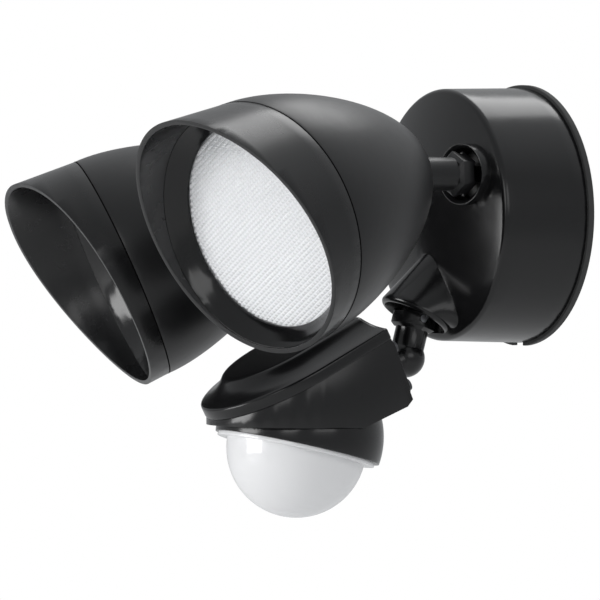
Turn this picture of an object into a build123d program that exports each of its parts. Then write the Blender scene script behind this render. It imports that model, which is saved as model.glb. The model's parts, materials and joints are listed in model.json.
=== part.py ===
from build123d import *
from math import cos, radians, sin, tan
import os

# A wall light with two aimable lamp heads and an aimable motion sensor.
# The wall is the plane Y = 0, the light stands out from it towards -Y, and Z is up.
# Sizes are millimetres and degrees.

os.makedirs("parts", exist_ok=True)

# Base drum
base_depth = 46.0            # wall to the front edge
base_radius = 60.0           # at the gasket
base_taper = 1.35            # radius lost from the gasket to the front edge
front_rise = 8.0             # how far the domed front stands out at its middle
edge_round = 3.0             # round on the front edge
base_wall = 3.0
gasket_thickness = 3.0
gasket_radius = 61.5
gasket_band = 9.5            # radial width of the gasket
drain_width = 9.0            # notch at the bottom of the gasket

# Wall bracket and what holds the base on it
bracket_length = 100.0
bracket_height = 30.0
bracket_thickness = 1.5
bracket_corner = 6.0
slot_spacing = 79.4          # slot centres, for box screws from 69.9 to 88.9 mm apart
slot_length = 14.3
slot_radius = 2.4
bolt_height = 8.0            # the fixing bolt's Z
bolt_radius = 2.5
bolt_head_radius = 4.5
bolt_head_thickness = 3.0
thread_collar_radius = 5.0   # collar on the bracket that gives the bolt its thread
thread_collar_height = 4.0
bolt_pad_depth = 8.0         # pad behind the front, around the bolt's counterbore
plug_radius = 6.5
plug_depth = 3.0
plug_wall = 2.0
plug_round = 0.8

# Electrical parts on the bracket
driver_size = (58.0, 22.0, 22.0)
driver_drop = 20.5
driver_round = 2.0
block_size = (30.0, 14.0, 12.0)
block_place = -24.0
block_pitch = 10.0
block_hole_radius = 2.0
block_hole_depth = 5.0
earth_place = 20.0
earth_radius = 4.2
earth_height = 3.0

# Lamp arms: boss, cup, stem and knuckle
boss_spread = 34.0           # boss centre from the middle, on the front edge plane
boss_height = 18.0
boss_toe_out = 14.0
boss_radius = 14.0
boss_reach = 11.0            # front edge plane to the boss lip, along the boss
cup_radius = 11.9
cup_chamfer = 1.7            # wide chamfer inside the lip
cup_floor = -3.0             # cup floor along the boss
floor_thickness = 3.5
knuckle_reach = 11.4         # front edge plane to the tilt pin, along the boss
shank_radius = 6.0
shank_length = 13.0          # below the cup floor
wire_bore_radius = 2.6
stem_flange_radius = 11.0
stem_flange_thickness = 3.0
tongue_thickness = 7.0
tongue_radius = 6.6
tongue_stalk = 8.4           # width of the tongue below its eye
knuckle_radius = 10.3
knuckle_back_radius = 8.0    # round tapered end behind the pin
knuckle_back = 4.0           # its length
knuckle_back_taper = 35.0
knuckle_nose = 5.5           # faceted body's front edge, ahead of the pin
knuckle_tail = 2.5           # and its rear edge, behind the pin
knuckle_chamfer = 1.6
tilt_room = 50.0             # half angle of the slot behind the pin
pin_radius = 2.0
pin_length = 17.0
neck_radius = 7.6
neck_start = 4.0             # round neck's start, ahead of the pin
neck_length = 52.0
nut_radius = 10.0
nut_thickness = 5.0
washer_thickness = 1.2
nut_room = 1.0               # free height around a lock nut

# Lamp heads
lamp_reach = 128.3           # tilt pin to the seam, along the beam
lamp_rise = 15.7             # beam above the tilt pin
lamp_outset = 0.3            # beam to the outer side of the tilt pin
neck_lift = 14.4             # neck's lean from the beam, upwards
neck_inset = 14.4            # neck's lean from the beam, to the inner side
aim_out = {1: 16.6, -1: 19.5}
aim_down = {1: 17.5, -1: 23.9}
aim_roll = {1: 13.2, -1: 48.3}
lamp_radius = 54.5           # at the seam
bell_length = 96.4
bell_wall = 2.8
bell_swell = 1.0             # how far the bell's curve leans out past the seam
bell_side = 29.5             # length of its near straight side
bell_crown = 28.9            # width of its near flat back
hood_wall = 2.2
hood_flare = 0.06
hood_long = 36.9             # rim height above the seam on the upper side
hood_mid = 19.2
hood_short = 8.9
hood_spare = 6.0             # height turned above the rim and cut off again
hood_end_rise = 2.9          # rim's rise past the upper end of its arc
hood_end_drop = 1.4          # and its drop past the lower end
spigot_depth = 5.0
spigot_wall = 2.4
bezel_rise = 7.7             # bezel's outer edge above the seam
lens_radius = 48.0
lens_show_radius = 45.8
lens_thickness = 3.0
lens_sink = 0.3              # lens face below the seam
bezel_wall = 1.1
seal_thickness = 1.6
seal_width = 4.0
reflector_wall = 1.2
reflector_depth = 30.0
reflector_throat = 17.5
reflector_lip = 5.0          # lens edge to the bowl's mouth
reflector_swell = 37.0       # where the bowl's curve leans to, and how deep
reflector_rise = 7.0
reflector_shoulder = 15.0
board_radius = 18.0
board_thickness = 1.6
emitter_radius = 9.0
emitter_thickness = 1.8
emitter_edge = 1.1
emitter_crown = 1.5
spreader_thickness = 3.0
fin_length = 20.0
fin_count = 9
fin_thickness = 1.6
fin_pitch = 5.6
fin_span = 40.0
fin_envelope = 24.0
sink_core = 10.0
board_screw_ring = 13.5
board_screw_radius = 1.25
board_screw_head = 2.3
board_screw_height = 1.3
board_screw_bite = 2.4       # how far the screws go into the heat sink's plate

# Sensor arm
socket_tilt = 30.0           # boss axis from straight down, towards the front
socket_front = 59.2          # socket mouth's centre out from the wall
socket_drop = 48.0           # and below the middle
socket_radius = 17.5
socket_bore_radius = 15.3    # at the mouth
socket_bore_taper = 15.4     # degrees, narrower towards the drum
socket_depth = 12.0
socket_lip = 2.2             # straight part of the boss at its mouth
socket_lip_round = 2.0       # round on the outer edge of the mouth
socket_nut_radius = 8.6
foot_top = 8.0               # top of the socket's foot on the base, below the middle
foot_half_width = 24.5
foot_apex_radius = 9.0
foot_corner_radius = 7.0
foot_corner_drop = 48.5
elbow_front = 64.2           # elbow ball's centre out from the wall
elbow_drop = 66.4
elbow_radius = 9.1
arm_radius = 7.6
arm_end_radius = 8.0         # round end that meets the back plate

# Sensor head
head_half_width = 37.0
head_front_centre = 126.0    # centre of its round front, out from the wall
head_wall = 2.4
head_rear = -60.0            # rear end of the plan outline, behind the rear face
seam_rear = (-92.9, -56.5)
rear_bottom = (-81.5, -84.0)
belly_rear = (-84.2, -87.2)
belly_middle = (-107.0, -96.5)
belly_front = (-159.5, -95.6)
cover_pitch = 27.5
rim_height = 5.5
plateau_inset = 13.0
plateau_rise = 7.5
plateau_rear_inset = 4.0
skirt_step = 1.0             # skirt's foot, in from the rim
skirt_rear_step = 0.6
rim_proud = 0.5
cover_wall = 3.4             # cover's rim, across
plate_thickness = 2.5
plate_margin = 3.0
plate_corner = 4.0
plate_screw_inset = 4.0
dome_centre = (-121.5, -106.5)
dome_radius = 31.9
dome_wall = 1.5
dome_tilt = 13.6
dome_flange_radius = 36.4
dome_flange_thickness = 1.6
collar_centre = (-119.8, -101.5)
collar_radius = 38.4
collar_wall = 2.6
sensor_board_thickness = 1.6
sensor_board_radius = 34.6
sensor_board_lift = 0.3      # gap between the board and the dome's rim
belly_window = 33.5          # radius of the opening over the sensor board
belly_window_cut = 12.0
pir_radius = 4.6
pir_height = 4.4
dial_radius = 4.5
dial_height = 4.0
dial_spread = 22.0
dial_lift = 2.0
dial_slot = 1.2
dial_slot_depth = 1.0
plate_screw_radius = 1.5
plate_screw_head = 2.8
plate_screw_height = 1.6

# Clearances
running = 0.06               # radial, shaft in bore
slack = 0.3                  # between faces that move past each other
seat = 0.1                   # between fixed pieces

# Overlaps and cuts
lap = 1.0                    # joined bodies and cuts run this far past a face
past = 5.0                   # or this far past a curved one
far = 60.0                   # or past everything nearby
stations = 200               # points along the bell where its radius is read


def save(piece, name):
    """Label a finished piece and write its file."""
    piece.part.label = name
    export_step(piece.part, f"parts/{name}.step")


# ---------------------------------------------------------------- base

def front_y(radius, inset=0.0):
    """Y of the domed front at a radius, or of the face inset behind it."""
    edge = base_radius - base_taper
    sphere = (edge ** 2 + front_rise ** 2) / (2 * front_rise)
    centre = -base_depth - front_rise + sphere
    return centre - ((sphere - inset) ** 2 - radius ** 2) ** 0.5


def base_profile(inset):
    """Half section of the drum in X and Y, or of the space that lies inset inside it."""
    back = base_radius - inset
    edge = base_radius - base_taper - inset
    rise = front_y(edge, inset)
    with BuildLine() as outline:
        dome = ThreePointArc((0, front_y(0, inset)), (edge / 2, front_y(edge / 2, inset)), (edge, rise))
        Polyline(dome @ 1, (back, -gasket_thickness), (0, -gasket_thickness), dome @ 0)
    return outline


def boss_plane(side, reach=0.0):
    """Plane across a lamp boss, at a reach along it from the front edge plane."""
    out = Vector(side * sin(radians(boss_toe_out)), -cos(radians(boss_toe_out)), 0)
    foot = Vector(side * boss_spread, -base_depth, boss_height)
    return Plane(origin=foot + out * reach, x_dir=(0, 0, 1), z_dir=out)


socket_axis = Vector(0, -sin(radians(socket_tilt)), -cos(radians(socket_tilt)))
socket_mouth = Vector(0, -socket_front, -socket_drop)


def socket_plane(depth=0.0):
    """Plane across the sensor socket, at a depth in from its mouth."""
    return Plane(origin=socket_mouth - socket_axis * depth, x_dir=(1, 0, 0), z_dir=socket_axis)


front_plane = Plane(origin=(0, -base_depth + base_wall, 0), x_dir=(1, 0, 0), z_dir=(0, -1, 0))

with BuildPart() as hollow:
    with BuildSketch(Plane.XY):
        with BuildLine():
            add(base_profile(base_wall).line)
        make_face()
    revolve(axis=Axis.Y)

with BuildPart() as base_housing:
    with BuildSketch(Plane.XY) as drum_section:
        with BuildLine():
            add(base_profile(0).line)
        make_face()
        front_corner = drum_section.vertices().sort_by_distance((base_radius - base_taper, -base_depth, 0))[0]
        fillet(front_corner, edge_round)
    revolve(axis=Axis.Y)
    # The sensor socket grows out of a foot shaped like a rounded triangle.
    with BuildSketch(front_plane):
        with Locations((0, -foot_top - foot_apex_radius)):
            Circle(foot_apex_radius)
        with Locations(*[(s * (foot_half_width - foot_corner_radius), -foot_corner_drop) for s in (-1, 1)]):
            Circle(foot_corner_radius)
        make_hull()
    with BuildSketch(socket_plane(socket_lip)):
        Circle(socket_radius)
    loft()
    # Its mouth is a short straight ring with a rounded outer edge.
    with BuildSketch(Plane(origin=socket_mouth, x_dir=(1, 0, 0), z_dir=Vector(1, 0, 0).cross(socket_axis))):
        with BuildLine():
            Polyline((socket_radius, -socket_lip_round), (socket_radius, -socket_lip), (0, -socket_lip),
                     (0, 0), (socket_radius - socket_lip_round, 0))
            RadiusArc((socket_radius - socket_lip_round, 0), (socket_radius, -socket_lip_round), socket_lip_round)
        make_face()
    revolve(axis=Axis(socket_mouth, socket_axis))
    add(hollow.part, mode=Mode.SUBTRACT)
    with BuildSketch(socket_plane(socket_depth + floor_thickness)):
        Circle(socket_nut_radius + base_wall)
    extrude(amount=floor_thickness + base_wall)
    for side in (1, -1):
        with BuildSketch(boss_plane(side, cup_floor - floor_thickness)):
            Circle(boss_radius)
        extrude(amount=boss_reach - cup_floor + floor_thickness)
    for side in (1, -1):
        with BuildSketch(boss_plane(side, cup_floor)):
            Circle(cup_radius)
        extrude(amount=boss_reach - cup_floor + past, mode=Mode.SUBTRACT)
        with BuildSketch(boss_plane(side, boss_reach - cup_chamfer)):
            Circle(cup_radius)
        with BuildSketch(boss_plane(side, boss_reach + seat)):
            Circle(cup_radius + cup_chamfer + seat)
        loft(mode=Mode.SUBTRACT)
        with BuildSketch(boss_plane(side, cup_floor - floor_thickness - past)):
            Circle(shank_radius + running)
        extrude(amount=floor_thickness + 2 * past, mode=Mode.SUBTRACT)
    with BuildSketch(socket_plane()):
        Circle(socket_bore_radius)
    extrude(amount=-socket_depth, taper=socket_bore_taper, mode=Mode.SUBTRACT)
    with BuildSketch(socket_plane(socket_depth + floor_thickness + shank_length)):
        Circle(shank_radius + running)
    extrude(amount=floor_thickness + shank_length + lap, mode=Mode.SUBTRACT)
    # Flat seat for the stem's washer and nut, inside the drum
    with BuildSketch(socket_plane(socket_depth + floor_thickness)):
        Circle(socket_nut_radius + nut_room / 2)
    extrude(amount=-nut_thickness - washer_thickness - nut_room, mode=Mode.SUBTRACT)
    # Counterbore and hole for the fixing bolt
    bolt_plane = Plane(origin=(0, front_y(bolt_height), bolt_height), x_dir=(1, 0, 0), z_dir=(0, -1, 0))
    with BuildSketch(bolt_plane.offset(-bolt_pad_depth)):
        Circle(plug_radius + plug_wall)
    extrude(amount=bolt_pad_depth - plug_wall)
    with BuildSketch(bolt_plane.offset(-plug_depth - bolt_head_thickness)):
        Circle(plug_radius)
    extrude(amount=plug_depth + bolt_head_thickness + past, mode=Mode.SUBTRACT)
    with BuildSketch(bolt_plane.offset(-bolt_pad_depth - lap)):
        Circle(bolt_radius + slack)
    extrude(amount=bolt_pad_depth, mode=Mode.SUBTRACT)
save(base_housing, "base_housing")

with BuildPart() as wall_gasket:
    with BuildSketch(Plane.XZ):
        Circle(gasket_radius)
        Circle(gasket_radius - gasket_band, mode=Mode.SUBTRACT)
        with Locations((0, -gasket_radius)):
            Rectangle(drain_width, gasket_band, mode=Mode.SUBTRACT)
    extrude(amount=gasket_thickness)
save(wall_gasket, "wall_gasket")

with BuildPart() as wall_bracket:
    with BuildSketch(Plane.XZ):
        RectangleRounded(bracket_length, bracket_height, bracket_corner)
        with Locations(*[(s * slot_spacing / 2, 0) for s in (-1, 1)]):
            SlotOverall(slot_length, 2 * slot_radius, mode=Mode.SUBTRACT)
        with Locations((0, bolt_height)):
            Circle(bolt_radius + running, mode=Mode.SUBTRACT)
    extrude(amount=bracket_thickness)
    # Collar that gives the bolt its thread
    with BuildSketch(Plane.XZ.offset(bracket_thickness)):
        with Locations((0, bolt_height)):
            Circle(thread_collar_radius)
            Circle(bolt_radius + running, mode=Mode.SUBTRACT)
    extrude(amount=thread_collar_height)
save(wall_bracket, "wall_bracket")

bolt_seat = front_y(bolt_height) + plug_depth + bolt_head_thickness
with BuildPart() as fixing_bolt:
    with BuildSketch(Plane(origin=(0, bolt_seat, bolt_height), x_dir=(1, 0, 0), z_dir=(0, -1, 0))):
        Circle(bolt_head_radius)
    extrude(amount=bolt_head_thickness - 2 * slack)
    with BuildSketch(Plane(origin=(0, -bracket_thickness, bolt_height), x_dir=(1, 0, 0), z_dir=(0, -1, 0))):
        Circle(bolt_radius)
    extrude(amount=-bolt_seat - bracket_thickness)
save(fixing_bolt, "fixing_bolt")

with BuildPart() as bolt_plug:
    with BuildSketch(bolt_plane.offset(-plug_depth)):
        Circle(plug_radius - seat)
    extrude(amount=plug_depth)
    fillet(bolt_plug.edges().filter_by(GeomType.CIRCLE).sort_by(Axis.Y)[0], plug_round)
save(bolt_plug, "bolt_plug")

# Electrical parts inside the drum, carried by the wall bracket
with BuildPart() as led_driver:
    with Locations((0, -bracket_thickness - driver_size[1] / 2 - 2 * seat, -driver_drop)):
        Box(*driver_size)
    fillet(led_driver.edges().filter_by(Axis.Y), driver_round)
save(led_driver, "led_driver")

block_front = -bracket_thickness - block_size[1]
with BuildPart() as terminal_block:
    with Locations((block_place, block_front + block_size[1] / 2, 0)):
        Box(*block_size)
    with Locations(*[Location((block_place + i * block_pitch, block_front, 0), (90, 0, 0)) for i in (-1, 0, 1)]):
        Hole(radius=block_hole_radius, depth=block_hole_depth)
save(terminal_block, "terminal_block")

with BuildPart() as earth_screw:
    with BuildSketch(Plane.XZ.offset(bracket_thickness)):
        with Locations((earth_place, 0)):
            RegularPolygon(earth_radius, 6)
    extrude(amount=earth_height)
save(earth_screw, "earth_screw")


# ---------------------------------------------------------------- stems

def make_stem(name, mouth, pin_way, pin_reach, floor, flange_r):
    """A swivel stem: shank, flange and a tongue that the tilt pin goes through.

    mouth is the plane across the arm's own boss with Z out along it, at reach 0.
    """
    out = mouth.z_dir
    pin_point = mouth.origin + out * pin_reach
    with BuildPart() as stem:
        with BuildSketch(mouth.offset(floor - shank_length)):
            Circle(shank_radius)
        extrude(amount=shank_length + lap)
        with BuildSketch(mouth.offset(floor + slack / 2)):
            Circle(flange_r)
        extrude(amount=stem_flange_thickness)
        half = tongue_thickness / 2
        side_plane = Plane(origin=pin_point - pin_way * half, x_dir=out, z_dir=pin_way)
        with BuildSketch(side_plane):
            Circle(tongue_radius)
            with Locations((-(pin_reach - floor) / 2, 0)):
                Rectangle(pin_reach - floor - lap, tongue_stalk)
        extrude(amount=tongue_thickness)
        with BuildSketch(side_plane.offset(-lap)):
            Circle(pin_radius + running)
        extrude(amount=tongue_thickness + 2 * lap, mode=Mode.SUBTRACT)
        with BuildSketch(mouth.offset(floor - shank_length - lap)):
            Circle(wire_bore_radius)
        extrude(amount=shank_length, mode=Mode.SUBTRACT)
    save(stem, name)


def make_nut(name, mouth, floor, radius):
    """Lock nut and washer on the shank, inside the drum."""
    under = mouth.offset(floor - floor_thickness - slack / 2 - washer_thickness)
    with BuildPart() as washer:
        with BuildSketch(under):
            Circle(radius)
            Circle(shank_radius + seat, mode=Mode.SUBTRACT)
        extrude(amount=washer_thickness)
    save(washer, name + "_washer")
    with BuildPart() as nut:
        with BuildSketch(under.offset(-nut_thickness)):
            RegularPolygon(radius, 6)
            Circle(shank_radius, mode=Mode.SUBTRACT)
        extrude(amount=nut_thickness)
    save(nut, name + "_nut")


def knuckle_block(centre, way, pin_way):
    """Solid of a knuckle: a chamfered six-sided body round the pin, with a tapered end behind it."""
    with BuildPart() as block:
        with BuildSketch(Plane(origin=centre - way * knuckle_tail, x_dir=pin_way, z_dir=way)):
            RegularPolygon(knuckle_radius, 6)
        extrude(amount=knuckle_tail + knuckle_nose)
        front = block.faces().sort_by(Axis(centre, way))[-1]
        chamfer(front.edges(), knuckle_chamfer)
        with BuildSketch(Plane(origin=centre - way * knuckle_tail, x_dir=pin_way, z_dir=-way)):
            Circle(knuckle_back_radius)
        extrude(amount=knuckle_back, taper=knuckle_back_taper)
    return block.part


def tongue_slot(centre, way, pin_way):
    """Space for the tongue: round at its eye, and a wedge behind the pin for the stalk to tilt in."""
    half = tongue_thickness / 2 + slack
    eye = tongue_radius + slack
    side = tongue_stalk / 2 + slack
    eye_half = side / cos(radians(tilt_room))
    mouth_half = eye_half + 2 * knuckle_radius * tan(radians(tilt_room))
    with BuildPart() as slot:
        with BuildSketch(Plane(origin=centre - pin_way * half, x_dir=way, z_dir=pin_way)):
            Circle(eye)
            Polygon((0, eye_half), (-2 * knuckle_radius, mouth_half), (-2 * knuckle_radius, -mouth_half),
                    (0, -eye_half), align=None)
        extrude(amount=2 * half)
    return slot.part


def make_pin(name, centre, way):
    """Tilt pin, centred on the knuckle."""
    with BuildPart() as pin:
        with BuildSketch(Plane(origin=centre - way * (pin_length / 2), z_dir=way)):
            Circle(pin_radius)
        extrude(amount=pin_length)
    save(pin, name)


# ---------------------------------------------------------------- lamps

def lamp_frame(side):
    """Plane on the lamp's seam: Z out along the beam, Y up the hood, X to the right."""
    az = radians(side * aim_out[side])
    el = radians(-aim_down[side])
    roll = radians(side * aim_roll[side])
    beam = Vector(sin(az) * cos(el), -cos(az) * cos(el), sin(el))
    level = Vector(cos(az), sin(az), 0)
    up = beam.cross(level)
    right = level * cos(roll) - up * sin(roll)
    high = up * cos(roll) + level * sin(roll)
    pin = boss_plane(side, knuckle_reach).origin
    seam = pin + beam * lamp_reach + high * lamp_rise + right * (side * lamp_outset)
    return Plane(origin=seam, x_dir=right, z_dir=beam)


def neck_way(side, frame):
    """Direction of the lamp's neck, out from the tilt pin."""
    way = frame.z_dir + frame.y_dir * tan(radians(neck_lift)) - frame.x_dir * (side * tan(radians(neck_inset)))
    return way.normalized()


def half_section(frame):
    """Plane of a half section: local X is the radius, local Y is along the beam."""
    return Plane(origin=frame.origin, x_dir=frame.x_dir, z_dir=frame.x_dir.cross(frame.z_dir))


def bell_line(inset):
    """Outline of the bell from its seam edge to the middle of its back.

    An inset moves each control point by its own share, which keeps the wall close to even.
    """
    radius = lamp_radius - inset
    back = -bell_length + inset
    return [(radius, 0), (radius + bell_swell - inset * 0.1, -bell_side + inset * 0.4),
            (bell_crown - inset * 0.6, back), (0, back)]


def make_lamp(side, name):
    """All the pieces of one lamp head; side is 1 for the right lamp and -1 for the left."""
    frame = lamp_frame(side)
    beam = Axis(frame.origin, frame.z_dir)
    section = half_section(frame)
    pin_at = boss_plane(side, knuckle_reach).origin
    boss_out = boss_plane(side).z_dir
    neck = neck_way(side, frame)
    pin_way = boss_out.cross(neck).normalized()
    make_stem(f"lamp_stem_{name}", boss_plane(side), pin_way, knuckle_reach, cup_floor, stem_flange_radius)
    make_nut(f"lamp_stem_{name}", boss_plane(side), cup_floor, nut_radius)
    make_pin(f"tilt_pin_{name}", pin_at, pin_way)

    knuckle = knuckle_block(pin_at, neck, pin_way)
    slot = tongue_slot(pin_at, neck, pin_way)
    with BuildPart() as bell_hollow:
        with BuildSketch(section):
            with BuildLine():
                curve = Bezier(*bell_line(bell_wall))
                Polyline(curve @ 1, (0, lap), (lamp_radius - bell_wall, lap), curve @ 0)
            make_face()
        revolve(axis=beam)
    with BuildPart() as body:
        with BuildSketch(section):
            with BuildLine():
                curve = Bezier(*bell_line(0))
                Polyline(curve @ 1, (0, 0), curve @ 0)
            make_face()
        revolve(axis=beam)
        with BuildSketch(Plane(origin=pin_at + neck * neck_start, z_dir=neck)):
            Circle(neck_radius)
        extrude(amount=neck_length)
        add(knuckle)
        add(bell_hollow.part, mode=Mode.SUBTRACT)
        add(slot, mode=Mode.SUBTRACT)
        with BuildSketch(Plane(origin=pin_at - pin_way * pin_length, z_dir=pin_way)):
            Circle(pin_radius + seat / 2)
        extrude(amount=2 * pin_length, mode=Mode.SUBTRACT)
    save(body, f"lamp_body_{name}")

    def ring(piece_name, outline):
        """A turned piece from its half section."""
        with BuildPart() as turned:
            with BuildSketch(section):
                with BuildLine():
                    Polyline(*outline, close=True)
                make_face()
            revolve(axis=beam)
        save(turned, f"{piece_name}_{name}")

    hood_top = hood_long + hood_spare
    inner = lamp_radius - bell_wall - seat
    with BuildPart() as hood:
        with BuildSketch(section):
            with BuildLine():
                Polyline((inner, -spigot_depth), (inner, 0), (lamp_radius, 0),
                         (lamp_radius + hood_flare * hood_top, hood_top),
                         (lamp_radius + hood_flare * hood_top - hood_wall, hood_top),
                         (lamp_radius - hood_wall + hood_flare * bezel_rise, bezel_rise),
                         (inner - spigot_wall, -lens_sink), (inner - spigot_wall, -spigot_depth), close=True)
            make_face()
        revolve(axis=beam)
        # The rim is cut by an arc seen from the side: long above, short below.
        rim_side = Plane(origin=frame.origin, x_dir=frame.y_dir, z_dir=frame.y_dir.cross(frame.z_dir))
        reach = lamp_radius + 2 * past
        with BuildSketch(rim_side):
            with BuildLine():
                rim = ThreePointArc((-lamp_radius, hood_short), (0, hood_mid), (lamp_radius + lap, hood_long))
                Polyline(rim @ 1, (reach, hood_long + hood_end_rise), (reach, hood_top + far),
                         (-reach, hood_top + far), (-reach, hood_short - hood_end_drop), rim @ 0)
            make_face()
        extrude(amount=reach, both=True, mode=Mode.SUBTRACT)
    save(hood, f"lamp_hood_{name}")

    lens_face = -lens_sink
    lens_back = lens_face - lens_thickness
    bezel_outer = lamp_radius - hood_wall + hood_flare * bezel_rise - seat
    ring("lens_bezel", [(bezel_outer, bezel_rise), (lens_show_radius, lens_face + seat),
                        (lens_show_radius, lens_face + seat + bezel_wall),
                        (bezel_outer, bezel_rise + bezel_wall)])
    ring("lamp_lens", [(0, lens_back), (lens_radius, lens_back), (lens_radius, lens_face), (0, lens_face)])
    seal_back = lens_back - seal_thickness
    ring("lens_seal", [(lens_radius - seal_width, lens_back), (lens_radius, lens_back),
                       (lens_radius, seal_back), (lens_radius - seal_width, seal_back)])
    throat = seal_back - reflector_depth
    mouth = lens_radius - reflector_lip
    with BuildPart() as reflector:
        with BuildSketch(section):
            with BuildLine():
                outer = Bezier((reflector_throat + reflector_wall, throat),
                               (reflector_swell + reflector_wall, throat + reflector_rise - reflector_wall),
                               (mouth + reflector_wall, throat + reflector_shoulder - reflector_wall),
                               (mouth + reflector_wall, seal_back - reflector_wall))
                inside = Bezier((reflector_throat, throat), (reflector_swell, throat + reflector_rise),
                                (mouth, throat + reflector_shoulder), (mouth, seal_back))
                Polyline(outer @ 1, (lens_radius, seal_back - reflector_wall), (lens_radius, seal_back), inside @ 1)
                Line(outer @ 0, inside @ 0)
            make_face()
        revolve(axis=beam)
    save(reflector, f"reflector_{name}")

    board_face = throat - seat
    board_back = board_face - board_thickness
    with BuildPart() as board:
        with BuildSketch(frame.offset(board_back)):
            Circle(board_radius)
            with PolarLocations(board_screw_ring, 3):
                Circle(board_screw_radius + seat, mode=Mode.SUBTRACT)
        extrude(amount=board_thickness)
    save(board, f"led_board_{name}")
    with BuildPart() as screws:
        with BuildSketch(frame.offset(board_face)):
            with PolarLocations(board_screw_ring, 3):
                Circle(board_screw_head)
        extrude(amount=board_screw_height)
        with BuildSketch(frame.offset(board_back - board_screw_bite)):
            with PolarLocations(board_screw_ring, 3):
                Circle(board_screw_radius - seat / 2)
        extrude(amount=board_thickness + board_screw_bite)
    save(screws, f"board_screws_{name}")
    ring("led_emitter", [(0, board_face), (emitter_radius, board_face), (emitter_radius, board_face + emitter_edge),
                         (emitter_radius - emitter_crown, board_face + emitter_thickness),
                         (0, board_face + emitter_thickness)])
    # The heat sink's plate seats in the bell, where the bell narrows to its size.
    plate_back = board_back - spreader_thickness
    with BuildLine(mode=Mode.PRIVATE) as bell_inside:
        Bezier(*bell_line(bell_wall))
    inside_points = [bell_inside.line @ (i / stations) for i in range(stations + 1)]
    plate_radius = min(inside_points, key=lambda point: abs(point.Y - plate_back)).X
    with BuildPart() as sink:
        with BuildSketch(frame.offset(plate_back)):
            Circle(plate_radius - slack)
        extrude(amount=spreader_thickness)
        with BuildSketch(frame.offset(plate_back - fin_length)):
            half_core = fin_pitch * (fin_count - 1) / 2
            with Locations(*[(i * fin_pitch - half_core, 0) for i in range(fin_count)]):
                Rectangle(fin_thickness, fin_span)
            Circle(fin_envelope, mode=Mode.INTERSECT)
            Circle(sink_core)
        extrude(amount=fin_length)
        with BuildSketch(frame.offset(board_back - board_screw_bite - seat)):
            with PolarLocations(board_screw_ring, 3):
                Circle(board_screw_radius)
        extrude(amount=board_screw_bite + seat, mode=Mode.SUBTRACT)
    save(sink, f"heat_sink_{name}")


for side, name in ((1, "right"), (-1, "left")):
    make_lamp(side, name)


# ---------------------------------------------------------------- sensor

across = Vector(1, 0, 0)
rear_span = Vector(0, *rear_bottom) - Vector(0, *seam_rear)
rear_way = rear_span.normalized()
rear_middle = (Vector(0, *rear_bottom) + Vector(0, *seam_rear)) * 0.5
rear_plane = Plane(origin=rear_middle, x_dir=(1, 0, 0), z_dir=(0, -rear_way.Z, rear_way.Y))
plate_height = rear_span.length - plate_margin
plate_width = 2 * (head_half_width - plate_margin)
screw_x = plate_width / 2 - plate_screw_inset
screw_y = plate_height / 2 - plate_screw_inset
screw_places = [(x * screw_x, y * screw_y) for x in (-1, 1) for y in (-1, 1)]
make_stem("sensor_stem", socket_plane(), across, 0.0, -socket_depth, stem_flange_radius)
make_nut("sensor_stem", socket_plane(), -socket_depth, socket_nut_radius)
make_pin("sensor_tilt_pin", socket_mouth, across)

elbow = Vector(0, -elbow_front, -elbow_drop)
arm_way = (elbow - socket_mouth).normalized()
sensor_knuckle = knuckle_block(socket_mouth, arm_way, across)
sensor_slot = tongue_slot(socket_mouth, arm_way, across)
with BuildPart() as sensor_arm:
    with BuildSketch(Plane(origin=socket_mouth + arm_way * neck_start, z_dir=arm_way)):
        Circle(arm_radius)
    extrude(amount=(elbow - socket_mouth).length - neck_start)
    add(sensor_knuckle)
    with Locations(Location(elbow)):
        Sphere(elbow_radius)
    elbow_gap = rear_plane.to_local_coords(elbow).Z
    with BuildSketch(Plane(origin=elbow, z_dir=rear_plane.z_dir * -1)):
        Circle(arm_end_radius)
    extrude(amount=elbow_gap - plate_thickness)
    with BuildSketch(rear_plane.offset(plate_thickness - far)):
        Rectangle(2 * far, 2 * far)
    extrude(amount=far, mode=Mode.SUBTRACT)
    add(sensor_slot, mode=Mode.SUBTRACT)
    with BuildSketch(Plane(origin=socket_mouth - across * pin_length, z_dir=across)):
        Circle(pin_radius + seat / 2)
    extrude(amount=2 * pin_length, mode=Mode.SUBTRACT)
save(sensor_arm, "sensor_arm")

seam_drop = tan(radians(cover_pitch))
seam_front_y = -head_front_centre - head_half_width - 2 * lap
seam_front = (seam_front_y, seam_rear[1] + (seam_front_y - seam_rear[0]) * seam_drop)


def plan_outline(inset):
    """U-shaped plan of the head, drawn on XY, round at the front."""
    half_width = head_half_width - inset
    with BuildLine() as outline:
        front = ThreePointArc((-half_width, -head_front_centre), (0, -head_front_centre - half_width),
                              (half_width, -head_front_centre))
        Polyline(front @ 1, (half_width, head_rear), (-half_width, head_rear), front @ 0)
    return outline


def cover_outline(inset, rear_inset=0.0):
    """Plan of the cover in the seam plane: local Y runs back along the slope."""
    slope = cos(radians(cover_pitch))
    half_width = head_half_width + rim_proud - inset
    front_centre = (-head_front_centre - seam_rear[0]) / slope
    with BuildLine() as outline:
        front = ThreePointArc((-half_width, front_centre), (0, front_centre - half_width / slope),
                              (half_width, front_centre))
        rear = rim_proud - rear_inset
        Polyline(front @ 1, (half_width, rear), (-half_width, rear), front @ 0)
    return outline


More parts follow.
